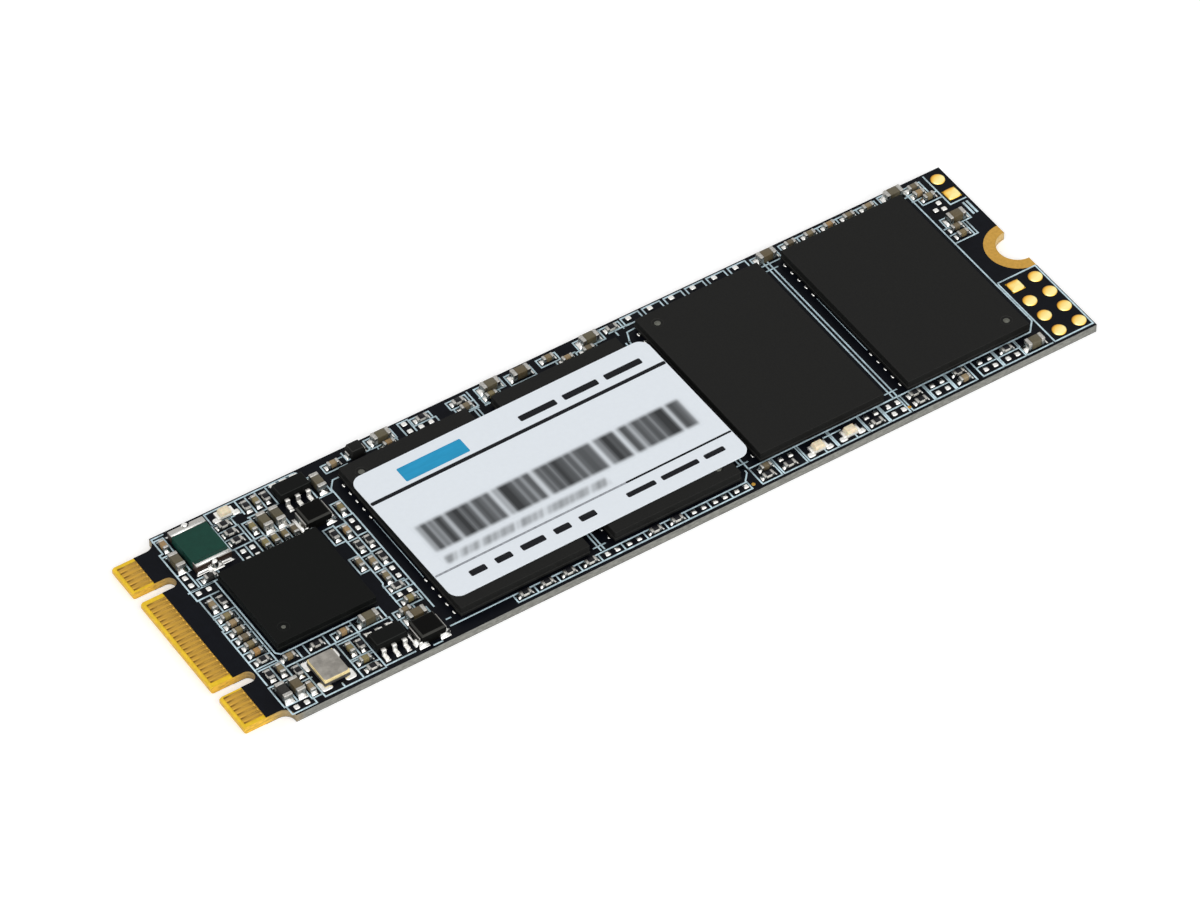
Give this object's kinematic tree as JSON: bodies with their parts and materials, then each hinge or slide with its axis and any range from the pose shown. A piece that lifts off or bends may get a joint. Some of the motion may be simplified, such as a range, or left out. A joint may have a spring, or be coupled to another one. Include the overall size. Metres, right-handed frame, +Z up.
{
  "type": "gumstick solid state drive",
  "caption": "Slim drive card: black circuit board with a keyed gold contact tongue, a half-round screw notch, flat memory chips, a controller, small surface parts and a white label.",
  "frame": {"origin": "middle of the contact tongue's tip edge, on the card's underside", "axes": "+X along the card from the tongue's tip to the screw notch, +Y across the card, +Z up from the underside towards the chips"},
  "size_m": [0.08, 0.022, 0.0021],
  "materials": {
    "glass_epoxy": "cut glass-epoxy board",
    "black_solder_mask": "smooth black lacquer",
    "gold_plating": "satin gold over copper",
    "tin_plating": "bright tin",
    "solder": "reflowed solder",
    "moulding_compound": "fine matt moulding",
    "capacitor_ceramic": "fired brown ceramic",
    "alumina": "white fired ceramic",
    "resistor_glaze": "dark glaze",
    "ferrite": "dark fired ferrite",
    "fuse_coat": "green lacquered polymer",
    "crystal_ceramic": "dark fired ceramic",
    "nickel_lid": "satin nickel",
    "led_epoxy": "cream clear epoxy",
    "label_film": "satin white print film"
  },
  "bodies": {
    "root": {"board_laminate": "glass_epoxy", "controller_chip": "moulding_compound", "controller_solder_balls": "solder", "crystal_base": "crystal_ceramic", "crystal_lid": "nickel_lid", "crystal_pads": "solder", "crystal_seal_ring": "gold_plating", "diode_body": "moulding_compound", "diode_terminals": "tin_plating", "edge_contacts_bottom": "gold_plating", "edge_contacts_top": "gold_plating", "ferrite_bodies": "ferrite", "ferrite_terminals": "tin_plating", "flash_chip_1": "moulding_compound", "flash_chip_2": "moulding_compound", "flash_chip_3": "moulding_compound", "flash_chip_4": "moulding_compound", "flash_solder_balls_1": "solder", "flash_solder_balls_2": "solder", "flash_solder_balls_3": "solder", "flash_solder_balls_4": "solder", "fuse_body": "fuse_coat", "fuse_terminals": "tin_plating", "header_pads": "gold_plating", "jumper_pads": "gold_plating", "label": "label_film", "large_capacitor_bodies": "capacitor_ceramic", "large_capacitor_terminals": "tin_plating", "led_bases": "alumina", "led_lenses": "led_epoxy", "led_terminals": "tin_plating", "lower_inductor_body": "ferrite", "lower_inductor_terminals": "tin_plating", "lower_regulator_body": "moulding_compound", "lower_regulator_leads": "tin_plating", "mounting_land_bottom": "gold_plating", "mounting_land_top": "gold_plating", "resistor_bodies": "alumina", "resistor_coats": "resistor_glaze", "resistor_terminals": "tin_plating", "small_capacitor_bodies": "capacitor_ceramic", "small_capacitor_terminals": "tin_plating", "solder_mask_bottom": "black_solder_mask", "solder_mask_top": "black_solder_mask", "upper_inductor_body": "ferrite", "upper_inductor_terminals": "tin_plating", "upper_regulator_body": "moulding_compound", "upper_regulator_leads": "tin_plating", "vacant_lands": "solder"}
  },
  "joints": []
}
